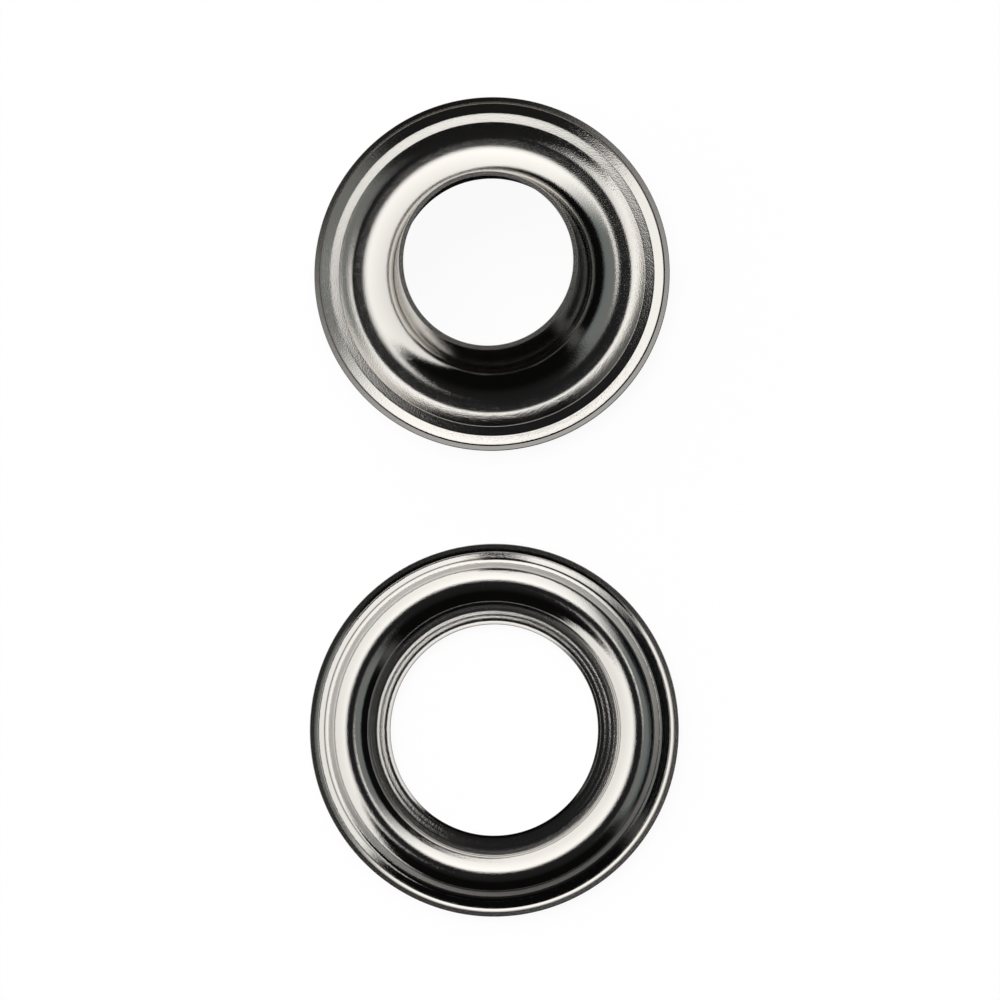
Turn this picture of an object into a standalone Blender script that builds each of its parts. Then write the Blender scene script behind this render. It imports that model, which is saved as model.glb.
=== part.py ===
"""Two-piece grommet set: a pressed eyelet with its barrel up, and the washer that the barrel is set into.

Frame: metres, +Z up, both pieces resting on z = 0. The pair lies along Y, the eyelet at +Y and the
washer at -Y, with the origin under the middle of the pair's box.

Each piece is one pressed sheet. Its section is a path of straights and bends along the upper skin, from
the hole out to the rim, with the lower skin one sheet thickness below it, turned about the ring's axis.
Every bend is given by the radius on its hollow side, so the sheet keeps its thickness round it, but for
the crest of the bead, which is pressed sharper than that.
"""
from math import acos, ceil, cos, pi, radians, sin, tan

import bmesh
import bpy

MM = 0.001

# Facets
SEGMENTS = 56                          # flats around each ring
BEND_SAG = 0.01 * MM                   # most that a flat may stray from the outer skin of a bend

# Eyelet
EYELET_SHEET = 0.28 * MM
EYELET_HEIGHT = 6.0 * MM               # from the face of the flange to the end of the barrel
BORE = 9.8 * MM                        # hole diameter at the end of the barrel
BARREL_TAPER = radians(7)              # the barrel opens out towards the flange
BARREL_FILLET = 1.2 * MM               # sweep from the barrel's wall
SWEEP_ANGLE = radians(45)              # steepness at which the wider sweep takes over
SWEEP_ROUND = 2.38 * MM                # wider sweep into the flange
VALLEY_IN_ANGLE = radians(10)          # steepness of the hollow where the barrel's sweep ends
VALLEY_IN_ROUND = 2.2 * MM             # soft hollow around the barrel
VALLEY_FLAT = 0.34 * MM                # flat ring at the bottom of the hollow, the face that it rests on
VALLEY_OUT_ROUND = 1.2 * MM
BEAD_FOOT_ANGLE = radians(9.5)         # slope at which the hollow's bend gives way to the bead's slow one
BEAD_ROUND = 5.3 * MM
BEAD_RISE_ANGLE = radians(17.5)        # slope just inside the bead's crest
BEAD_CREST = 0.1 * MM                  # radius of the crest, on the upper skin
BEAD_FALL_ANGLE = radians(7)           # slope down from the bead to the crease
BEAD_FALL_WIDTH = 0.52 * MM
CREASE_BEND = 0.06 * MM
FLANGE_RISE_ANGLE = radians(15)        # slope up from the crease to the rim
FLANGE_RISE_WIDTH = 0.505 * MM
EYELET_RIM_ANGLE = radians(93)         # the rim stands up, and leans in a little
EYELET_RIM_BEND = 0.04 * MM
EYELET_RIM_LENGTH = 0.03 * MM          # straight part of the rim

# Washer
WASHER_SHEET = 0.3 * MM
CLOTH = 1.0 * MM                       # cloth held between the two pieces
SLIP_CLEARANCE = 0.24 * MM             # play between the barrel and the washer's hole, on the cloth
LIP_ANGLE = radians(30)                # the sheet comes down from the hole to the shelf
LIP_BEND = 0.2 * MM
LEDGE_ANGLE = radians(1)
LEDGE_WIDTH = 0.14 * MM
STEP_ANGLE = radians(5.5)              # slight step down to the shelf
STEP_WIDTH = 0.3 * MM
STEP_BEND = 0.05 * MM
SHELF_BEND = 0.3 * MM
SHELF_WIDTH = 0.5 * MM                 # level shelf that takes the rolled barrel
RISER_ANGLE = radians(78)              # low riser at the foot of the dome
RISER_HEIGHT = 0.26 * MM
RISER_BEND = 0.06 * MM
INNER_WALL_ANGLE = radians(36)         # inner wall of the dome
INNER_WALL_WIDTH = 0.3 * MM
EDGE_BEND = 0.05 * MM                  # tight bends along the edges of the walls
DOME_INNER_ROUND = 0.6 * MM
DOME_TOP_ANGLE = radians(6.3)          # the top of the dome is flatter, up to this slope on both sides
DOME_TOP_ROUND = 1.42 * MM
DOME_OUTER_ROUND = 0.5 * MM
OUTER_WALL_ANGLE = radians(35)         # outer wall of the dome
OUTER_WALL_WIDTH = 0.28 * MM
OUTER_EDGE_ANGLE = radians(58)         # steep edge at the foot of the wall
COLLAR_BEND = 0.06 * MM
COLLAR_ANGLE = radians(4)              # flat collar around the dome
COLLAR_WIDTH = 0.25 * MM
SKIRT_ROUND = 0.18 * MM
SKIRT_TOP_ANGLE = radians(35)          # slope where the collar has turned down
SKIRT_DROP_ANGLE = radians(46)         # narrow steeper drop
SKIRT_DROP_WIDTH = 0.04 * MM
SKIRT_BEND = 0.1 * MM
SKIRT_ANGLE = radians(31)              # slope from there to the groove
SKIRT_WIDTH = 0.25 * MM
GROOVE_BEND = 0.05 * MM
RIM_FACE_ANGLE = radians(35)           # slope up from the groove to the rim
RIM_FACE_WIDTH = 0.12 * MM
WASHER_RIM_ANGLE = radians(93)
WASHER_RIM_BEND = 0.05 * MM
WASHER_RIM_LENGTH = 0.05 * MM

# Both pieces
EDGE_CHAMFER = 0.05 * MM               # broken edge of each sheared end
CENTER_DISTANCE = 26.66 * MM           # between the axes of the two pieces as they lie

# Nickel plate
NICKEL_COLOR = (0.66, 0.64, 0.61, 1.0)
NICKEL_ROUGHNESS = 0.14


def clear_scene():
    for item in list(bpy.data.objects):
        bpy.data.objects.remove(item, do_unlink=True)


def nickel(name):
    material = bpy.data.materials.new(name)
    material.use_nodes = True
    shader = material.node_tree.nodes["Principled BSDF"]
    shader.inputs["Base Color"].default_value = NICKEL_COLOR
    shader.inputs["Metallic"].default_value = 1.0
    shader.inputs["Roughness"].default_value = NICKEL_ROUGHNESS
    return material


class SheetPath:
    """A heading of 0 runs outwards, and of 90 degrees straight up."""

    def __init__(self, radius, height, heading, sheet):
        self.r = radius
        self.z = height
        self.heading = heading
        self.sheet = sheet
        self.upper = []
        self.lower = []
        self.add_station()

    def below(self, r, z, heading, depth):
        return (r + depth * sin(heading), z - depth * cos(heading))

    def add_station(self):
        self.upper.append((self.r, self.z))
        self.lower.append(self.below(self.r, self.z, self.heading, self.sheet))

    def straight(self, length):
        self.r += length * cos(self.heading)
        self.z += length * sin(self.heading)
        self.add_station()

    def across(self, width):
        self.straight(width / cos(self.heading))

    def up(self, height):
        self.straight(height / abs(sin(self.heading)))

    def bend_to(self, heading, hollow_radius):
        """Turns to the new heading. Turning upwards, the upper skin is the hollow side of the bend."""
        turn = heading - self.heading
        side = 1 if turn > 0 else -1
        radius = hollow_radius if side > 0 else hollow_radius + self.sheet
        flat_turn = 2 * acos(1 - BEND_SAG / (hollow_radius + self.sheet))
        steps = max(1, ceil(abs(turn) / flat_turn))
        first = self.heading
        start_r, start_z = self.r, self.z
        for k in range(1, steps + 1):
            self.heading = first + turn * k / steps
            self.r = start_r + side * radius * (sin(self.heading) - sin(first))
            self.z = start_z - side * radius * (cos(self.heading) - cos(first))
            self.add_station()

    def crest_to(self, heading, radius):
        """Turns down over a crest sharper than the sheet is thick. The lower skin has one corner there."""
        first = self.heading
        middle = (first + heading) / 2
        half_turn = (first - heading) / 2
        to_corner = radius * tan(half_turn)
        corner_r = self.r + to_corner * cos(first)
        corner_z = self.z + to_corner * sin(first)
        self.lower[-1] = self.below(corner_r, corner_z, middle, self.sheet / cos(half_turn))
        self.r = corner_r + to_corner * cos(heading)
        self.z = corner_z + to_corner * sin(heading)
        self.heading = heading
        self.upper.append((self.r, self.z))

    def outline(self):
        """The closed section, on the floor, with its sheared ends chamfered."""
        points = self.upper + self.lower[::-1]
        last_upper = len(self.upper) - 1
        ends = {0, last_upper, last_upper + 1, len(points) - 1}
        return on_floor(chamfered(points, ends, EDGE_CHAMFER))


def chamfered(points, corners, size):
    """Cuts each of the named corners of a closed outline back by the size along both of its sides."""
    out = []
    count = len(points)
    for k, (r, z) in enumerate(points):
        if k not in corners:
            out.append((r, z))
            continue
        for other_r, other_z in (points[k - 1], points[(k + 1) % count]):
            length = ((other_r - r) ** 2 + (other_z - z) ** 2) ** 0.5
            cut = min(size, length / 3)
            out.append((r + (other_r - r) * cut / length, z + (other_z - z) * cut / length))
    return out


def on_floor(outline):
    lowest = min(z for r, z in outline)
    return [(r, z - lowest) for r, z in outline]


def wall_height():
    """Straight part of the barrel: what the sheet, the hollow and the sweeps leave of the height."""
    hollow = VALLEY_IN_ROUND * (1 - cos(VALLEY_IN_ANGLE))
    sweep = SWEEP_ROUND * (cos(VALLEY_IN_ANGLE) - cos(SWEEP_ANGLE))
    fillet = BARREL_FILLET * (cos(SWEEP_ANGLE) - sin(BARREL_TAPER))
    return EYELET_HEIGHT - EYELET_SHEET - hollow - sweep - fillet


def barrel_path():
    """From the end of the barrel to the level ring around it."""
    end_radius = BORE / 2 + EYELET_SHEET / cos(BARREL_TAPER)
    path = SheetPath(end_radius, EYELET_HEIGHT, BARREL_TAPER - pi / 2, EYELET_SHEET)
    path.lower[0] = (BORE / 2, EYELET_HEIGHT)
    path.up(wall_height())
    path.bend_to(-SWEEP_ANGLE, BARREL_FILLET)
    path.bend_to(-VALLEY_IN_ANGLE, SWEEP_ROUND)
    path.bend_to(0.0, VALLEY_IN_ROUND)
    return path


def barrel_radius_above_flange(height):
    """Outer radius of the barrel at a height above the level ring around it."""
    path = barrel_path()
    level = path.z + height
    for (r_above, z_above), (r_below, z_below) in zip(path.upper, path.upper[1:]):
        if z_below <= level <= z_above:
            return r_above + (r_below - r_above) * (z_above - level) / (z_above - z_below)
    return path.upper[0][0]


def eyelet_outline():
    path = barrel_path()
    path.across(VALLEY_FLAT)
    path.bend_to(BEAD_FOOT_ANGLE, VALLEY_OUT_ROUND)
    path.bend_to(BEAD_RISE_ANGLE, BEAD_ROUND)
    path.crest_to(-BEAD_FALL_ANGLE, BEAD_CREST)
    path.across(BEAD_FALL_WIDTH)
    path.bend_to(FLANGE_RISE_ANGLE, CREASE_BEND)
    path.across(FLANGE_RISE_WIDTH)
    path.bend_to(EYELET_RIM_ANGLE, EYELET_RIM_BEND)
    path.straight(EYELET_RIM_LENGTH)
    return path.outline()


def washer_outline():
    hole_radius = barrel_radius_above_flange(CLOTH) + SLIP_CLEARANCE
    lip_overlap = WASHER_SHEET * sin(LIP_ANGLE)
    path = SheetPath(hole_radius + lip_overlap, 0.0, -LIP_ANGLE, WASHER_SHEET)
    path.upper[0] = (hole_radius, lip_overlap * tan(LIP_ANGLE))
    path.bend_to(-LEDGE_ANGLE, LIP_BEND)
    path.across(LEDGE_WIDTH)
    path.bend_to(-STEP_ANGLE, STEP_BEND)
    path.across(STEP_WIDTH)
    path.bend_to(0.0, SHELF_BEND)
    path.across(SHELF_WIDTH)
    path.bend_to(RISER_ANGLE, RISER_BEND)
    path.up(RISER_HEIGHT)
    path.bend_to(INNER_WALL_ANGLE, EDGE_BEND)
    path.across(INNER_WALL_WIDTH)
    path.bend_to(DOME_TOP_ANGLE, DOME_INNER_ROUND)
    path.bend_to(-DOME_TOP_ANGLE, DOME_TOP_ROUND)
    path.bend_to(-OUTER_WALL_ANGLE, DOME_OUTER_ROUND)
    path.across(OUTER_WALL_WIDTH)
    path.bend_to(-OUTER_EDGE_ANGLE, EDGE_BEND)
    path.bend_to(-COLLAR_ANGLE, COLLAR_BEND)
    path.across(COLLAR_WIDTH)
    path.bend_to(-SKIRT_TOP_ANGLE, SKIRT_ROUND)
    path.bend_to(-SKIRT_DROP_ANGLE, EDGE_BEND)
    path.across(SKIRT_DROP_WIDTH)
    path.bend_to(-SKIRT_ANGLE, SKIRT_BEND)
    path.across(SKIRT_WIDTH)
    path.bend_to(RIM_FACE_ANGLE, GROOVE_BEND)
    path.across(RIM_FACE_WIDTH)
    path.bend_to(WASHER_RIM_ANGLE, WASHER_RIM_BEND)
    path.straight(WASHER_RIM_LENGTH)
    return path.outline()


def turned_ring(name, outline, center_y, material):
    """Turns the closed outline about the ring's axis into one solid."""
    bm = bmesh.new()
    verts = [bm.verts.new((r, 0.0, z)) for r, z in outline]
    edges = [bm.edges.new((verts[k - 1], verts[k])) for k in range(len(verts))]
    bmesh.ops.spin(bm, geom=verts + edges, cent=(0, 0, 0), axis=(0, 0, 1), angle=2 * pi,
                   steps=SEGMENTS, use_merge=True)
    bmesh.ops.remove_doubles(bm, verts=bm.verts, dist=1e-7)
    bmesh.ops.recalc_face_normals(bm, faces=bm.faces)
    mesh = bpy.data.meshes.new(name)
    bm.to_mesh(mesh)
    bm.free()
    mesh.shade_smooth()
    mesh.set_sharp_from_angle(angle=radians(30))
    mesh.materials.append(material)
    ring = bpy.data.objects.new(name, mesh)
    ring.location = (0.0, center_y, 0.0)
    bpy.context.scene.collection.objects.link(ring)
    return ring


def build():
    clear_scene()
    eyelet = eyelet_outline()
    washer = washer_outline()
    eyelet_radius = max(r for r, z in eyelet)
    washer_radius = max(r for r, z in washer)
    half_length = (eyelet_radius + CENTER_DISTANCE + washer_radius) / 2
    turned_ring("eyelet", eyelet, half_length - eyelet_radius, nickel("eyelet_nickel"))
    turned_ring("washer", washer, washer_radius - half_length, nickel("washer_nickel"))


build()
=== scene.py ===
from math import cos, pi, radians, sin, tan

import bpy
import numpy as np
from mathutils import Matrix, Vector


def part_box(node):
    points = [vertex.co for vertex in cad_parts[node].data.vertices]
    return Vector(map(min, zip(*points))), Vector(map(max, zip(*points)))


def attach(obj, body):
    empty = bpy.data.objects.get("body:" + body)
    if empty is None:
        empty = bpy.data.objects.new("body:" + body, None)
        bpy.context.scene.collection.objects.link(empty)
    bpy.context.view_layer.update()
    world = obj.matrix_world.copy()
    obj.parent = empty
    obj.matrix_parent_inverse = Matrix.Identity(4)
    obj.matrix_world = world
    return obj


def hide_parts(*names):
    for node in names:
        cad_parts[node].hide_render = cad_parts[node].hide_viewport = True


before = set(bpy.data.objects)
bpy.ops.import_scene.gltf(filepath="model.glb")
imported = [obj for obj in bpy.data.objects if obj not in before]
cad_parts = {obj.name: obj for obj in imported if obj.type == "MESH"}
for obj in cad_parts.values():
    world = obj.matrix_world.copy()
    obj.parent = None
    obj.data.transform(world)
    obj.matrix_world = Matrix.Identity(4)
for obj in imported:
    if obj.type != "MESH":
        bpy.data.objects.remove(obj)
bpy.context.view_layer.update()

mm = 0.001
micron = 0.000001

print("frame loaded:", sorted(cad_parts))

# Rings: each one is a section, walked along the upper skin of the sheet and turned about its axis

ringGrid = {
    "around": 480,                        # columns of the grid round each ring
    "upperStations": 118,                 # rows along the upper skin
    "lowerStations": 66,                  # rows along the lower skin
    "cornerStations": 5,                  # rows round each rounded corner
    "cornerFlat": 1.3,                    # this many reaches from a corner, one more row keeps the side flat
    "cornerClear": 1.5,                   # nearer to a corner than this, a skin has no rows of its own
    "walkSteps": 8000,                    # steps of the walk, before its stations are picked
    "bendShare": 0.6,                     # share of the stations that goes to the bends
}


# A move of a walk is a turn to a new heading, with a radius, or a run straight on
def turnTo(name, heading, radius):
    return name, "turn", heading, radius


def runOn(name, length):
    return name, "run", length, 0


# A straight slope, given by its angle and by its width seen from above
def slopeRun(name, slope):
    angle, width = slope
    return runOn(name, width / cos(angle))


# The heading stays through a run and changes evenly through a turn, and the place is the running sum of the
# steps taken along it. A ripple tips the heading to and fro over some waves that fade at both ends.
# Gives distance, heading, radius and height at every step, and the distance at which each named move ends.
def walkSkin(start, heading, moves, ripples=()):
    knots, headings, ends = [0.0], [heading], {"start": 0.0}
    for name, kind, value, radius in moves:
        turned = value if kind == "turn" else headings[-1]
        length = abs(turned - headings[-1]) * radius if kind == "turn" else value
        knots.append(knots[-1] + length)
        headings.append(turned)
        ends[name] = knots[-1]
    s = np.linspace(0, knots[-1], ringGrid["walkSteps"])
    along = np.interp(s, knots, headings)
    for ripple in ripples:
        t = np.clip((s - ripple["from"]) / (ripple["to"] - ripple["from"]), 0, 1)
        along = along + ripple["tip"] * np.sin(pi * t) ** 2 * np.sin(2 * pi * ripple["waves"] * t)
    step = np.diff(s)
    middle = (along[1:] + along[:-1]) / 2
    r = start[0] + np.concatenate([[0], np.cumsum(step * np.cos(middle))])
    z = start[1] + np.concatenate([[0], np.cumsum(step * np.sin(middle))])
    return {"s": s, "heading": along, "r": r, "z": z, "ends": ends}


# Stations evenly spaced in a sum of distance and turning, so that bends get their share of them
def pickStations(walk, count):
    s, share = walk["s"], ringGrid["bendShare"]
    turning = np.concatenate([[0], np.cumsum(np.abs(np.diff(walk["heading"])))])
    measure = (1 - share) * s / s[-1] + share * turning / turning[-1]
    return np.interp(np.linspace(0, 1, count), measure, s)


# A rounded corner: a quadratic curve from one side to the other that bows towards the sharp corner, with one
# more row on each side that keeps the flat beside it flat
def roundCorner(a, corner, b, reach):
    toFirst = (a - corner) / np.linalg.norm(a - corner) * reach
    toLast = (b - corner) / np.linalg.norm(b - corner) * reach
    t = np.linspace(0, 1, ringGrid["cornerStations"])[:, None]
    curve = corner + (1 - t) ** 2 * toFirst + t ** 2 * toLast
    flat = ringGrid["cornerFlat"]
    return np.concatenate([[corner + flat * toFirst], curve, [corner + flat * toLast]])


# The closed outline of a sheet: out along the upper skin, round the rim's end, back along the lower skin,
# which lies one sheet below along the normal, and round the hole's end, whose cut is level or plumb.
# The lower skin runs straight past a crest that is sharper than the sheet is thick, given by its two ends.
# Gives radius, height, distance along the skin, and 1 on the sheared ends.
def sheetOutline(walk, sheet, reach, holeCut, crest=(0, 0)):
    def skin(stations, offset):
        heading = np.interp(stations, walk["s"], walk["heading"])
        r = np.interp(stations, walk["s"], walk["r"]) + offset * np.sin(heading)
        z = np.interp(stations, walk["s"], walk["z"]) - offset * np.cos(heading)
        return np.stack([r, z], 1)

    upperAt = pickStations(walk, ringGrid["upperStations"])
    lowerAt = pickStations(walk, ringGrid["lowerStations"])[::-1]
    upper, lower = skin(upperAt, 0), skin(lowerAt, sheet)
    slope = tan(walk["heading"][0])
    if holeCut == "level":
        lower[-1] = lower[-1][0] + (upper[0][1] - lower[-1][1]) / slope, upper[0][1]
    else:
        overlap = upper[0][0] - lower[-1][0]
        upper = np.concatenate([[[lower[-1][0], upper[0][1] - overlap * slope]], upper])
        upperAt = np.concatenate([[-overlap / cos(walk["heading"][0])], upperAt])
    clear = ringGrid["cornerClear"] * reach
    last = walk["s"][-1] - clear
    keepUpper = (upperAt > upperAt[0] + clear) & (upperAt < last)
    keepLower = (lowerAt > clear) & (lowerAt < last)
    keepLower &= (lowerAt <= crest[0]) | (lowerAt >= crest[1])
    rimAt = walk["s"][-1]
    pieces = [
        (upper[keepUpper], upperAt[keepUpper], 0),
        (roundCorner(upper[-2], upper[-1], lower[0], reach), rimAt, 1),
        (roundCorner(upper[-1], lower[0], lower[1], reach), rimAt, 1),
        (lower[keepLower], lowerAt[keepLower], 0),
        (roundCorner(lower[-2], lower[-1], upper[0], reach), 0, 1),
        (roundCorner(lower[-1], upper[0], upper[1], reach), 0, 1),
    ]
    points = np.concatenate([piece[0] for piece in pieces])
    distance = np.concatenate([np.broadcast_to(piece[1], len(piece[0])) for piece in pieces])
    sheared = np.concatenate([np.full(len(piece[0]), float(piece[2])) for piece in pieces])
    return {"r": points[:, 0], "z": points[:, 1] - points[:, 1].min(), "along": distance, "sheared": sheared}


# 0 below 0, 1 above 1, and a smooth S between them
def smoothStep(x):
    x = np.clip(x, 0, 1)
    return x * x * (3 - 2 * x)


# 1 between two distances and 0 outside them, with soft edges
def softBand(s, start, end, soft):
    return smoothStep((s - start) / soft + 0.5) * smoothStep((end - s) / soft + 0.5)


# Where each finish and the painted shade lie along the skin: a sum of bands. A band goes from the end of one
# move to the end of another, each shifted by some distance, with a soft edge and a strength. The rim's end
# gets painted shade by itself.
def finishMasks(walk, outline, piece):
    s, ends = outline["along"], walk["ends"]
    masks = {"sheared": outline["sheared"]}
    for mask, bands in piece["finish"].items():
        masks[mask] = np.zeros_like(s)
        for first, before, last, past, soft, strength in bands:
            masks[mask] += strength * softBand(s, ends[first] + before, ends[last] + past, soft)
    # painted shade on the rim's sheared end
    masks["crease"] += piece["rimShade"] * outline["sheared"] * (s > ends["rimBend"])
    return masks


# The grid: each row is one point of the outline, carried round the axis, and the last row joins the first.
# A few slow waves round the ring lift and shift it by some hundredths of a millimetre, as pressing does.
def turnRing(name, outline, masks, piece):
    low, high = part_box(name)
    center = [(low[0] + high[0]) / 2, (low[1] + high[1]) / 2]
    around = ringGrid["around"]
    angle = np.linspace(0, 2 * pi, around, endpoint=False)[None, :]
    r, z = outline["r"][:, None], outline["z"][:, None]
    out = (r - outline["r"].min()) / np.ptp(outline["r"])
    up = z / outline["z"].max()
    swell = sum(size * np.cos(count * angle + phase) for count, size, phase in piece["wavesOut"])
    lift = sum(size * np.cos(count * angle + phase) for count, size, phase in piece["wavesUp"])
    radius = r + swell * out * (1 - out) * 4 - piece["oval"] * np.cos(2 * angle)
    x = center[0] + radius * np.cos(angle)
    y = center[1] + radius * np.sin(angle)
    height = z + lift * up * (1 - up) * 4 + 0 * angle
    points = np.stack([x, y, height], 2).reshape(-1, 3)
    rows = len(outline["r"])
    row, column = np.meshgrid(np.arange(rows), np.arange(around), indexing="ij")
    nextRow, nextColumn = (row + 1) % rows, (column + 1) % around
    faces = np.stack([row * around + column, nextRow * around + column,
                      nextRow * around + nextColumn, row * around + nextColumn], 2).reshape(-1, 4)
    mesh = bpy.data.meshes.new(name + "Sheet")
    mesh.from_pydata(points.tolist(), [], faces.tolist())
    mesh.polygons.foreach_set("use_smooth", np.ones(len(faces), dtype=bool))
    ringPlace = np.stack([np.broadcast_to(np.cos(angle), x.shape), np.broadcast_to(np.sin(angle), x.shape),
                          np.broadcast_to(outline["along"][:, None] / mm, x.shape)], 2)
    mesh.attributes.new("ringPlace", "FLOAT_VECTOR", "POINT").data.foreach_set("vector", ringPlace.ravel())
    for mask, values in masks.items():
        spread = np.broadcast_to(values[:, None], x.shape).ravel()
        mesh.attributes.new(mask, "FLOAT", "POINT").data.foreach_set("value", spread)
    ring = bpy.data.objects.new(name + "Ring", mesh)
    bpy.context.scene.collection.objects.link(ring)
    return ring


# Eyelet

eyelet = {
    "sheet": 0.28 * mm,
    "height": 6.0 * mm,
    "bore": 9.8 * mm,
    "barrelTaper": radians(7),
    "barrelFillet": 1.2 * mm,
    "sweepAngle": radians(45),            # where the wider sweep takes over from the fillet
    "sweepRound": 2.38 * mm,
    "valleyInAngle": radians(10),
    "valleyInRound": 2.2 * mm,
    "valleyFlat": 0.34 * mm,
    "valleyOutRound": 1.2 * mm,
    "beadFoot": radians(10.5),            # where the bend out of the hollow gives way to a slower one
    "beadRound": 4.37 * mm,
    "beadRise": radians(20),
    "beadCrest": 0.06 * mm,               # on the upper skin: the crest is nearly sharp
    "crestMargin": 0.07 * mm,             # the lower skin runs straight under the crest and this far past it
    "beadFall": [radians(5.5), 0.52 * mm],  # angle and width of the slope
    "creaseBend": 0.06 * mm,
    "flangeRise": [radians(15), 0.498 * mm],
    "rimAngle": radians(100),
    "rimBend": 0.14 * mm,
    "rimLength": 0.03 * mm,
    "edgeRound": 0.02 * mm,               # reach of the rounding on each sheared corner
    "oval": 0.018 * mm,                   # it stands out by this on both sides along Y, and in along X
    # waves round the ring, outwards and upwards: how many, how high, and their phase
    "wavesOut": [(2, 0.012 * mm, 0.4), (3, 0.008 * mm, 2.1), (5, 0.004 * mm, 1.0)],
    "wavesUp": [(2, 0.02 * mm, 1.3), (3, 0.012 * mm, 0.2), (7, 0.004 * mm, 2.0)],
    "finish": {
        "satin": [],
        # painted shade: a near-black band in the bend up to the rim
        "crease": [("flangeRise", 0.02 * mm, "rimBend", 0, 0.04 * mm, 0.9)],
        "drawn": [("start", 0, "barrel", 0, 0.6 * mm, 1)],
        "paleBand": [("beadRise", -0.047 * mm, "beadRise", 0.073 * mm, 0.08 * mm, 1)],
    },
    # share of painted shade on the rim's sheared end
    "rimShade": 0.72,
}


# Down the barrel, which ends where the rest of the height is left to the bends, and out to the rim
def eyeletWalk():
    e = eyelet
    sheet, taper = e["sheet"], e["barrelTaper"]
    hollow = e["valleyInRound"] * (1 - cos(e["valleyInAngle"]))
    sweep = e["sweepRound"] * (cos(e["valleyInAngle"]) - cos(e["sweepAngle"]))
    fillet = e["barrelFillet"] * (cos(e["sweepAngle"]) - sin(taper))
    wall = e["height"] - sheet - hollow - sweep - fillet
    moves = [
        runOn("barrel", wall / cos(taper)),
        turnTo("fillet", -e["sweepAngle"], e["barrelFillet"]),
        turnTo("sweep", -e["valleyInAngle"], e["sweepRound"]),
        turnTo("valleyIn", 0, e["valleyInRound"]),
        runOn("valleyFlat", e["valleyFlat"]),
        turnTo("beadFoot", e["beadFoot"], e["valleyOutRound"]),
        turnTo("beadRise", e["beadRise"], e["beadRound"]),
        turnTo("beadCrest", -e["beadFall"][0], e["beadCrest"]),
        slopeRun("beadFall", e["beadFall"]),
        turnTo("creaseBend", e["flangeRise"][0], e["creaseBend"]),
        slopeRun("flangeRise", e["flangeRise"]),
        turnTo("rimBend", e["rimAngle"], e["rimBend"]),
        runOn("rimEnd", e["rimLength"]),
    ]
    start = (e["bore"] / 2 + sheet / cos(taper), e["height"])
    return walkSkin(start, taper - pi / 2, moves)


def makeEyelet():
    walk = eyeletWalk()
    ends, margin = walk["ends"], eyelet["crestMargin"]
    crest = (ends["beadRise"] - margin, ends["beadCrest"] + margin)
    outline = sheetOutline(walk, eyelet["sheet"], eyelet["edgeRound"], "level", crest)
    return turnRing("eyelet", outline, finishMasks(walk, outline, eyelet), eyelet)


# Washer

washer = {
    "sheet": 0.3 * mm,
    "holeRadius": 6.0818 * mm,
    "lip": radians(31),                   # the sheet comes down from the hole to the shelf
    "lipBend": 0.06 * mm,
    "ledge": [radians(2), 0.13 * mm],     # angle and width of the slope
    "step": [radians(5), 0.42 * mm],
    "stepBend": 0.05 * mm,
    "shelfBend": 1.24 * mm,
    "shelf": [radians(2.4), 0.225 * mm],
    "ripple": [6.14 * mm, 7.3 * mm],      # the fine rings start and end about these radii
    "rippleTip": radians(-3.8),           # how far they tip the sheet
    "rippleWaves": 4,
    "riser": [radians(78), 0.165 * mm],   # angle and height
    "riserBend": 0.06 * mm,
    "innerWall": [radians(36), 0.234 * mm],
    "innerWallBend": 0.05 * mm,
    "domeInnerRound": 0.91 * mm,
    "domeTopAngle": radians(6.3),         # the top of the dome is flatter, up to this slope on both sides
    "domeTopRound": 1.36 * mm,
    "domeOuterRound": 0.65 * mm,
    "outerFoot": radians(28.5),           # slope at which the slow bend of the outer wall begins
    "outerWallRound": 5.4 * mm,
    "outerWall": radians(31.5),
    "outerEdge": radians(58),
    "edgeBend": 0.05 * mm,
    "collarBend": 0.06 * mm,
    "collar": [radians(4), 0.266 * mm],
    "skirtRound": 0.085 * mm,
    "skirtTop": radians(35),
    "skirtDrop": [radians(46), 0.02 * mm],
    "skirtBend": 0.1 * mm,
    "skirt": [radians(31), 0.352 * mm],
    "grooveBend": 0.05 * mm,
    "rimFace": [radians(24), 0.11 * mm],
    "rimAngle": radians(93),
    "rimBend": 0.05 * mm,
    "rimLength": 0.05 * mm,
    "edgeRound": 0.03 * mm,
    "oval": 0.055 * mm,
    "wavesOut": [(2, 0.015 * mm, 1.4), (3, 0.01 * mm, 0.6), (5, 0.005 * mm, 2.0)],
    "wavesUp": [(2, 0.02 * mm, 0.3), (3, 0.012 * mm, 1.2), (7, 0.004 * mm, 0.5)],
    "finish": {
        "satin": [("outerEdge", 0, "collar", 0, 0.1 * mm, 1),
                  ("stepBend", 0, "shelfBend", 0, 0.1 * mm, 0.36),
                  ("shelfBend", 0, "innerWallBend", 0, 0.1 * mm, 0.57)],
        # painted shade: dark bands below the riser, at the outer edge and over the skirt's top
        "crease": [("shelf", 0, "riser", 0, 0.08 * mm, 0.45),
                   ("outerEdge", -0.03 * mm, "outerEdge", 0.03 * mm, 0.05 * mm, 0.5),
                   ("skirtTop", 0, "skirtEdge", 0.06 * mm, 0.06 * mm, 0.4)],
        "drawn": [("ledge", 0, "riserBend", 0, 0.1 * mm, 1)],
        "paleBand": [("domeInner", 0, "domeTop", 0, 0.3 * mm, 1)],
    },
    "rimShade": 0,
}


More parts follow.
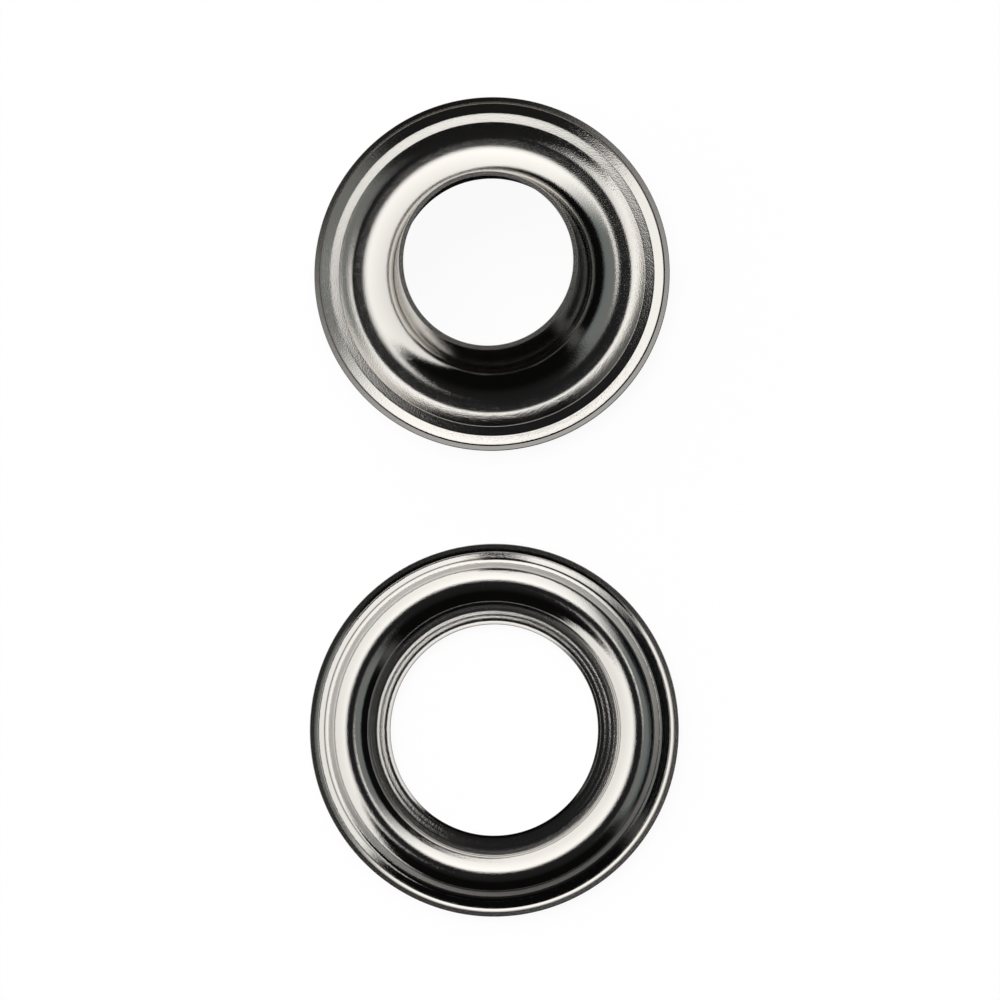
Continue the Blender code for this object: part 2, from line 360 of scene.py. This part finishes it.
# Out from the hole. A bend whose hollow side is the lower skin has one sheet more on the upper skin.
def washerWalk():
    w = washer
    sheet = w["sheet"]
    moves = [
        turnTo("lipBend", -w["ledge"][0], w["lipBend"]),
        slopeRun("ledge", w["ledge"]),
        turnTo("stepBend", -w["step"][0], w["stepBend"] + sheet),
        slopeRun("step", w["step"]),
        turnTo("shelfBend", w["shelf"][0], w["shelfBend"]),
        slopeRun("shelf", w["shelf"]),
        turnTo("riserBend", w["riser"][0], w["riserBend"]),
        runOn("riser", w["riser"][1] / sin(w["riser"][0])),
        turnTo("innerWallBend", w["innerWall"][0], w["innerWallBend"] + sheet),
        slopeRun("innerWall", w["innerWall"]),
        turnTo("domeInner", w["domeTopAngle"], w["domeInnerRound"] + sheet),
        turnTo("domeTop", -w["domeTopAngle"], w["domeTopRound"] + sheet),
        turnTo("domeOuter", -w["outerFoot"], w["domeOuterRound"] + sheet),
        turnTo("outerWall", -w["outerWall"], w["outerWallRound"]),
        turnTo("outerEdge", -w["outerEdge"], w["edgeBend"] + sheet),
        turnTo("collarBend", -w["collar"][0], w["collarBend"]),
        slopeRun("collar", w["collar"]),
        turnTo("skirtTop", -w["skirtTop"], w["skirtRound"] + sheet),
        turnTo("skirtEdge", -w["skirtDrop"][0], w["edgeBend"] + sheet),
        slopeRun("skirtDrop", w["skirtDrop"]),
        turnTo("skirtBend", -w["skirt"][0], w["skirtBend"]),
        slopeRun("skirt", w["skirt"]),
        turnTo("grooveBend", w["rimFace"][0], w["grooveBend"]),
        slopeRun("rimFace", w["rimFace"]),
        turnTo("rimBend", w["rimAngle"], w["rimBend"]),
        runOn("rimEnd", w["rimLength"]),
    ]
    first = w["holeRadius"] + sheet * sin(w["lip"])
    start, end = (radius - first for radius in w["ripple"])
    ripple = {"from": start, "to": end, "tip": w["rippleTip"], "waves": w["rippleWaves"]}
    return walkSkin((first, 0), -w["lip"], moves, [ripple])


def makeWasher():
    walk = washerWalk()
    outline = sheetOutline(walk, washer["sheet"], washer["edgeRound"], "plumb")
    return turnRing("washer", outline, finishMasks(walk, outline, washer), washer)


eyeletRing = makeEyelet()
washerRing = makeWasher()
print("rings turned:", [(ring.name, len(ring.data.polygons)) for ring in (eyeletRing, washerRing)])

# Nickel plate


# A sum or other operation on sockets and numbers
def calc(tree, operation, a, b=0.0, c=0.0):
    node = tree.nodes.new("ShaderNodeMath")
    node.operation = operation
    for socket, value in zip(node.inputs, (a, b, c)):
        if isinstance(value, bpy.types.NodeSocket):
            tree.links.new(value, socket)
        else:
            socket.default_value = value
    return node.outputs[0]


def ramped(tree, value, fromLow, fromHigh, toLow=0.0, toHigh=1.0):
    node = tree.nodes.new("ShaderNodeMapRange")
    node.interpolation_type = "SMOOTHSTEP"
    tree.links.new(value, node.inputs["Value"])
    limits = {"From Min": fromLow, "From Max": fromHigh, "To Min": toLow, "To Max": toHigh}
    for name, number in limits.items():
        node.inputs[name].default_value = number
    return node.outputs["Result"]


# A mix of two colours, each of them a socket or three numbers
def blended(tree, amount, a, b):
    node = tree.nodes.new("ShaderNodeMix")
    node.data_type = "RGBA"
    tree.links.new(amount, node.inputs[0])
    for socket, value in ((node.inputs[6], a), (node.inputs[7], b)):
        if isinstance(value, bpy.types.NodeSocket):
            tree.links.new(value, socket)
        else:
            socket.default_value = (*value, 1)
    return node.outputs[2]


def newGroup(name, inputs, outputs):
    tree = bpy.data.node_groups.new(name, "ShaderNodeTree")
    for label, kind, value in inputs:
        socket = tree.interface.new_socket(label, in_out="INPUT", socket_type=kind)
        if value is not None:
            socket.default_value = value
    for label, kind in outputs:
        tree.interface.new_socket(label, in_out="OUTPUT", socket_type=kind)
    return tree, tree.nodes.new("NodeGroupInput").outputs, tree.nodes.new("NodeGroupOutput").inputs


def noiseOn(tree, vector, scale, detail):
    node = tree.nodes.new("ShaderNodeTexNoise")
    tree.links.new(vector, node.inputs["Vector"])
    node.inputs["Detail"].default_value = detail
    if isinstance(scale, bpy.types.NodeSocket):
        tree.links.new(scale, node.inputs["Scale"])
    else:
        node.inputs["Scale"].default_value = scale
    return node.outputs["Fac"]


plateNoise = {
    "fineDetail": 1.5, "broadDetail": 1.0,
    "lineDetail": 1.0, "patchDetail": 2.0,
    "linesRound": 1.5,                    # how often drawn lines change in one radian round the ring
    "patchSpread": [0.3, 0.7],            # the noise runs about from here to here
}


# The grainy skin of bright plate: fine pits and a slower unevenness, as one height in metres
def plateGrainGroup():
    tree, given, out = newGroup("plateGrain", [
        ("Place", "NodeSocketVector", None),
        ("Fine Size", "NodeSocketFloat", 0.1), ("Fine Depth", "NodeSocketFloat", 1.0),
        ("Broad Size", "NodeSocketFloat", 0.8), ("Broad Depth", "NodeSocketFloat", 1.0),
    ], [("Height", "NodeSocketFloat")])
    heights = []
    for label, detail in (("Fine", "fineDetail"), ("Broad", "broadDetail")):
        scale = calc(tree, "DIVIDE", 1 / mm, given[label + " Size"])
        noise = noiseOn(tree, given["Place"], scale, plateNoise[detail])
        depth = calc(tree, "MULTIPLY", given[label + " Depth"], micron)
        heights.append(calc(tree, "MULTIPLY", noise, depth))
    tree.links.new(calc(tree, "ADD", *heights), out["Height"])
    return tree


# Lines that drawing through the die leaves: noise that changes quickly along the section and slowly round
# the ring, as a height in metres
def drawnLinesGroup():
    tree, given, out = newGroup("drawnLines", [
        ("Ring Place", "NodeSocketVector", None),
        ("Lines Per Millimetre", "NodeSocketFloat", 12.0), ("Depth", "NodeSocketFloat", 1.0),
    ], [("Height", "NodeSocketFloat")])
    stretch = tree.nodes.new("ShaderNodeVectorMath")
    stretch.operation = "MULTIPLY"
    scale = tree.nodes.new("ShaderNodeCombineXYZ")
    scale.inputs["X"].default_value = plateNoise["linesRound"]
    scale.inputs["Y"].default_value = plateNoise["linesRound"]
    tree.links.new(given["Lines Per Millimetre"], scale.inputs["Z"])
    tree.links.new(given["Ring Place"], stretch.inputs[0])
    tree.links.new(scale.outputs[0], stretch.inputs[1])
    lines = noiseOn(tree, stretch.outputs[0], 1.0, plateNoise["lineDetail"])
    depth = calc(tree, "MULTIPLY", given["Depth"], micron)
    tree.links.new(calc(tree, "MULTIPLY", lines, depth), out["Height"])
    return tree


plateGrain = plateGrainGroup()
drawnLines = drawnLinesGroup()


def placed(tree, group, **values):
    node = tree.nodes.new("ShaderNodeGroup")
    node.node_tree = group
    for label, value in values.items():
        socket = node.inputs[label.replace("_", " ")]
        if isinstance(value, bpy.types.NodeSocket):
            tree.links.new(value, socket)
        else:
            socket.default_value = value
    return node.outputs


def attribute(tree, name, output="Fac"):
    node = tree.nodes.new("ShaderNodeAttribute")
    node.attribute_name = name
    return node.outputs[output]


def plateMaterial(name, look):
    material = bpy.data.materials.new(name)
    material.use_nodes = True
    tree = material.node_tree
    shader = tree.nodes["Principled BSDF"]
    place = tree.nodes.new("ShaderNodeTexCoord").outputs["Object"]
    sheared = attribute(tree, "sheared")
    grain = placed(tree, plateGrain, Place=place, Fine_Size=look["fineSize"], Fine_Depth=look["fineDepth"],
                   Broad_Size=look["broadSize"], Broad_Depth=look["broadDepth"])
    lines = placed(tree, drawnLines, Ring_Place=attribute(tree, "ringPlace", "Vector"),
                   Lines_Per_Millimetre=look["linesPerMm"], Depth=look["lineDepth"])
    height = calc(tree, "MULTIPLY_ADD", lines["Height"], attribute(tree, "drawn"), grain["Height"])
    patches = noiseOn(tree, place, 1 / look["patchSize"], plateNoise["patchDetail"])
    rough = ramped(tree, patches, *plateNoise["patchSpread"], *look["roughness"])
    matte = calc(tree, "MAXIMUM", calc(tree, "MULTIPLY", sheared, look["shearedRoughness"]),
                 calc(tree, "MULTIPLY", attribute(tree, "satin"), look["satinRoughness"]))
    tree.links.new(calc(tree, "MAXIMUM", rough, matte), shader.inputs["Roughness"])
    # Painted shade: the base colour goes nearly black in the bends and on the sheared ends
    shadeShare = calc(tree, "MAXIMUM", attribute(tree, "crease"),
                calc(tree, "MULTIPLY", sheared, look["shearedShade"]))
    # a slightly paler base colour in a narrow band on the bead's crest and over the dome's top
    shade = blended(tree, attribute(tree, "paleBand"), look["plateColor"], look["paleBandColor"])
    shade = blended(tree, shadeShare, shade, look["creaseColor"])
    tree.links.new(shade, shader.inputs["Base Color"])
    bump = tree.nodes.new("ShaderNodeBump")
    bump.inputs["Distance"].default_value = 1.0
    tree.links.new(height, bump.inputs["Height"])
    tree.links.new(bump.outputs["Normal"], shader.inputs["Normal"])
    shader.inputs["Metallic"].default_value = 1.0
    return material


eyeletLook = {
    "plateColor": (0.66, 0.64, 0.61), "paleBandColor": (0.70, 0.68, 0.65),
    "creaseColor": (0.1, 0.097, 0.093),   # painted shade, near black, in bends and on sheared ends
    "shearedShade": 0.25,                  # share of that painted shade on a sheared end
    "roughness": [0.06, 0.09],            # least and most, over patches
    "patchSize": 1.5 * mm,
    "shearedRoughness": 0.18, "satinRoughness": 0.2,
    "fineSize": 0.07, "fineDepth": 5.0,   # millimetres, micrometres
    "broadSize": 0.8, "broadDepth": 2.0,
    "linesPerMm": 12.0, "lineDepth": 2.0,
}
washerLook = dict(eyeletLook, satinRoughness=0.3, shearedRoughness=0.16, lineDepth=4.0)

eyeletRing.data.materials.append(plateMaterial("eyeletNickel", eyeletLook))
washerRing.data.materials.append(plateMaterial("washerNickel", washerLook))
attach(eyeletRing, "root")
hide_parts("eyelet")
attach(washerRing, "root")
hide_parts("washer")
print("plate on both rings")

# Studio: a floor, and lit walls and dark screens as the world around it

floorValues = {
    "size": 3.0, "drop": 0.01 * mm,
    "pale": 0.1, "glow": 0.94,            # the share that takes shadows, and the plain white under it
    "inPlate": [0.05, 0.45],              # its glow in the plate: least to the right and front, most left
    "turn": [-6 * mm, 0.0],               # where that changes: half the way back less the way to the right
    "holeInPlate": 0.26, "holeReach": [7.2 * mm, 6.2 * mm],  # the least inside the washer's hole
    "barrelReach": [6.0 * mm, 6.8 * mm],  # it is dark inside the barrel, up to this far from its axis
}


# How brightly the plate shows the floor at each place of it
def glowInPlate(tree):
    place = tree.nodes.new("ShaderNodeSeparateXYZ")
    tree.links.new(tree.nodes.new("ShaderNodeTexCoord").outputs["Object"], place.inputs[0])
    x, y = place.outputs["X"], place.outputs["Y"]

    def backFrom(name):
        low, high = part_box(name)
        return calc(tree, "SUBTRACT", y, (low[1] + high[1]) / 2)

    def fromAxis(name):
        back = backFrom(name)
        return calc(tree, "SQRT", calc(tree, "MULTIPLY_ADD", back, back, calc(tree, "MULTIPLY", x, x)))

    side = calc(tree, "MULTIPLY_ADD", backFrom("eyelet"), 0.5, calc(tree, "MULTIPLY", x, -1))
    glow = ramped(tree, side, *floorValues["turn"], *floorValues["inPlate"])
    inHole = ramped(tree, fromAxis("washer"), *floorValues["holeReach"], 0, floorValues["holeInPlate"])
    outsideBarrel = ramped(tree, fromAxis("eyelet"), *floorValues["barrelReach"])
    return calc(tree, "MULTIPLY", calc(tree, "MAXIMUM", glow, inHole), outsideBarrel)


def makeFloor():
    half = floorValues["size"] / 2
    mesh = bpy.data.meshes.new("floor")
    corners = [(-half, -half), (half, -half), (half, half), (-half, half)]
    mesh.from_pydata([(x, y, -floorValues["drop"]) for x, y in corners], [], [(0, 1, 2, 3)])
    material = bpy.data.materials.new("paleFloor")
    material.use_nodes = True
    tree = material.node_tree
    tree.nodes.remove(tree.nodes["Principled BSDF"])
    path = tree.nodes.new("ShaderNodeLightPath").outputs
    strength = calc(tree, "MULTIPLY_ADD", path["Is Camera Ray"], floorValues["glow"],
                    calc(tree, "MULTIPLY", path["Is Glossy Ray"], glowInPlate(tree)))
    pale = tree.nodes.new("ShaderNodeBsdfDiffuse")
    pale.inputs["Color"].default_value = (floorValues["pale"],) * 3 + (1,)
    glow = tree.nodes.new("ShaderNodeEmission")
    tree.links.new(strength, glow.inputs["Strength"])
    both = tree.nodes.new("ShaderNodeAddShader")
    tree.links.new(pale.outputs[0], both.inputs[0])
    tree.links.new(glow.outputs[0], both.inputs[1])
    tree.links.new(both.outputs[0], tree.nodes["Material Output"].inputs["Surface"])
    mesh.materials.append(material)
    floor = bpy.data.objects.new("floor", mesh)
    bpy.context.scene.collection.objects.link(floor)


# Azimuths are degrees from the right, counter-clockwise from above, and heights are degrees from straight up
studio = {
    "litColor": (1.63, 1.62, 1.6),
    "litByHeight": [(0, 0.66), (18, 0.7), (27, 0.98), (66, 0.86), (86, 0.78), (88, 0.02)],
    "litByAzimuth": [(-180, 0.84), (-140, 0.84), (60, 0.92), (90, 1.0), (120, 0.94), (180, 0.84)],
    "screenEdges": [-36, -32, 34, 66],    # the screen on the right fades in and out between these azimuths
    "screenByHeight": [(0, (0.18, 0.185, 0.18)), (30, (0.21, 0.22, 0.215)), (44, (0.2, 0.22, 0.22)),
                       (52, (0.18, 0.205, 0.205)), (58, (0.15, 0.17, 0.18)), (68, (0.002, 0.002, 0.002))],
    "foot": [53, 61],                     # heights between which it ends in a dark foot
    "footSink": 0.45,                     # it sinks by this for each degree past the screen's full edge
    "footColor": (0.004, 0.004, 0.004),
    "blackEdges": [-160, -154, -41, -34],  # azimuths of the black screen in front
    "blackSlant": [(22, 0.3), (50, 0.5)],  # below each height its left edge shifts by this for each degree
    "blackByHeight": [(0, 0.016), (24, 0.014), (42, 0.004)],
    "dimEdge": [-34, -30], "dimColor": (0.03, 0.031, 0.033),  # a dim strip on its right
    "post": [-38, -28], "postSoft": 2, "postRise": [50, 66], "postColor": (0.09, 0.09, 0.09),
    "slotByAzimuth": [(-180, 1.0), (-151, 1.0), (-146, 0.0), (-20, 0.0), (5, 0.05), (18, 0.6), (30, 1.0)],
    "slotEdge": [26.0, 22.0],             # the lit slot between the hood and the screens ends here
    "hoodCenter": [1.4, 1.6],             # degrees to the right of and behind the zenith
    "hoodEdge": [10.5, 18.5],             # the dark hood round the camera ends this far from its center
    "hoodColor": (0.016, 0.016, 0.017),
}


# Grey or colour stops over a range of the value
def rampOver(tree, value, low, high, stops):
    node = tree.nodes.new("ShaderNodeValToRGB")
    tree.links.new(calc(tree, "DIVIDE", calc(tree, "SUBTRACT", value, low), high - low), node.inputs["Fac"])
    elements = node.color_ramp.elements
    elements.remove(elements[1])
    for number, (at, color) in enumerate(stops):
        stop = elements[0] if number == 0 else elements.new((at - low) / (high - low))
        stop.position = (at - low) / (high - low)
        stop.color = (*color, 1) if isinstance(color, tuple) else (color, color, color, 1)
    return node.outputs["Color"]


def byHeight(tree, fromTop, stops):
    return rampOver(tree, fromTop, 0, 90, stops)


def byAzimuth(tree, azimuth, stops):
    return rampOver(tree, azimuth, -180, 180, stops)


# Lit walls of one colour, brighter and darker by height and azimuth
def litWalls(tree, fromTop, azimuth):
    lit = tree.nodes.new("ShaderNodeVectorMath")
    lit.operation = "SCALE"
    lit.inputs[0].default_value = studio["litColor"]
    level = calc(tree, "MULTIPLY", byHeight(tree, fromTop, studio["litByHeight"]),
                 byAzimuth(tree, azimuth, studio["litByAzimuth"]))
    tree.links.new(level, lit.inputs["Scale"])
    return lit.outputs["Vector"]


# The screen on the right, and the dark foot that it stands on
def withScreen(tree, fromTop, azimuth, walls):
    first, full, last, gone = studio["screenEdges"]
    begun = ramped(tree, azimuth, first, full)
    screen = calc(tree, "MULTIPLY", begun, ramped(tree, azimuth, gone, last))
    walls = blended(tree, screen, walls, byHeight(tree, fromTop, studio["screenByHeight"]))
    past = calc(tree, "MAXIMUM", calc(tree, "SUBTRACT", azimuth, last), 0)
    foot = ramped(tree, calc(tree, "MULTIPLY_ADD", past, -studio["footSink"], fromTop), *studio["foot"])
    return blended(tree, calc(tree, "MULTIPLY", foot, begun), walls, studio["footColor"])


# The black screen in front, with a dim strip on its right and a slanted left edge
def withBlack(tree, fromTop, azimuth, walls):
    first, full, last, gone = studio["blackEdges"]
    slanted = azimuth
    for height, slant in studio["blackSlant"]:
        below = calc(tree, "MAXIMUM", calc(tree, "SUBTRACT", fromTop, height), 0)
        slanted = calc(tree, "MULTIPLY_ADD", below, -slant, slanted)
    begun = ramped(tree, slanted, first, full)
    dim = calc(tree, "MULTIPLY", begun, ramped(tree, azimuth, *studio["dimEdge"][::-1]))
    black = calc(tree, "MULTIPLY", begun, ramped(tree, azimuth, gone, last))
    walls = blended(tree, dim, walls, studio["dimColor"])
    return blended(tree, black, walls, byHeight(tree, fromTop, studio["blackByHeight"]))


# A grey post low down, where the two screens meet
def withPost(tree, fromTop, azimuth, walls):
    (first, last), soft = studio["post"], studio["postSoft"]
    post = calc(tree, "MULTIPLY", ramped(tree, azimuth, first - soft, first + soft),
                ramped(tree, azimuth, last + soft, last - soft))
    post = calc(tree, "MULTIPLY", post, ramped(tree, fromTop, *studio["postRise"]))
    return blended(tree, post, walls, studio["postColor"])


# The dark hood round the camera: every direction within some angle of its axis
def withHood(tree, direction, walls):
    hoodAxis = Vector((*(sin(radians(angle)) for angle in studio["hoodCenter"]), 1)).normalized()
    toHood = tree.nodes.new("ShaderNodeVectorMath")
    toHood.operation = "DOT_PRODUCT"
    tree.links.new(direction, toHood.inputs[0])
    toHood.inputs[1].default_value = hoodAxis
    fromHood = calc(tree, "DEGREES", calc(tree, "ARCCOSINE", toHood.outputs["Value"]))
    return blended(tree, ramped(tree, fromHood, *studio["hoodEdge"]), studio["hoodColor"], walls)


def makeWorld():
    world = bpy.data.worlds.new("studio")
    bpy.context.scene.world = world
    world.use_nodes = True
    tree = world.node_tree
    direction = tree.nodes.new("ShaderNodeTexCoord").outputs["Generated"]
    parts = tree.nodes.new("ShaderNodeSeparateXYZ")
    tree.links.new(direction, parts.inputs[0])
    x, y, z = parts.outputs
    fromTop = calc(tree, "DEGREES", calc(tree, "ARCCOSINE", z))
    azimuth = calc(tree, "DEGREES", calc(tree, "ARCTAN2", y, x))
    lit = litWalls(tree, fromTop, azimuth)
    walls = withScreen(tree, fromTop, azimuth, lit)
    walls = withBlack(tree, fromTop, azimuth, walls)
    walls = withPost(tree, fromTop, azimuth, walls)
    slot = calc(tree, "MULTIPLY", byAzimuth(tree, azimuth, studio["slotByAzimuth"]),
                ramped(tree, fromTop, *studio["slotEdge"]))
    walls = blended(tree, slot, walls, lit)
    walls = withHood(tree, direction, walls)
    camera = tree.nodes.new("ShaderNodeLightPath").outputs["Is Camera Ray"]
    tree.links.new(blended(tree, camera, walls, (1, 1, 1)), tree.nodes["Background"].inputs["Color"])


view = {
    "target": (0.43 * mm, 0.22 * mm, 1.0 * mm),
    "distance": 300 * mm,
    "tilt": [2.2, -5.65],                 # degrees by which it stands to the right of and behind the zenith
    "roll": -0.26,                        # degrees
    "across": 58.14 * mm,                 # width seen at the target
    "sensor": 36.0,
    "nearest": 10 * mm,
}


def makeCamera():
    camera = bpy.data.cameras.new("camera")
    camera.sensor_width = view["sensor"]
    camera.lens = view["sensor"] * view["distance"] / view["across"]
    camera.clip_start = view["nearest"]
    holder = bpy.data.objects.new("camera", camera)
    right, back = (tan(radians(angle)) for angle in view["tilt"])
    away = Vector((right, back, 1)).normalized()
    holder.location = Vector(view["target"]) + away * view["distance"]
    up = Vector((-sin(radians(view["roll"])), cos(radians(view["roll"])), 0))
    across = up.cross(away).normalized()
    axes = Matrix((across, away.cross(across), away)).transposed()
    holder.rotation_euler = axes.to_euler()
    bpy.context.scene.collection.objects.link(holder)
    bpy.context.scene.camera = holder


makeFloor()
makeWorld()
makeCamera()
bpy.context.scene.view_settings.view_transform = "Standard"
print("studio ready")
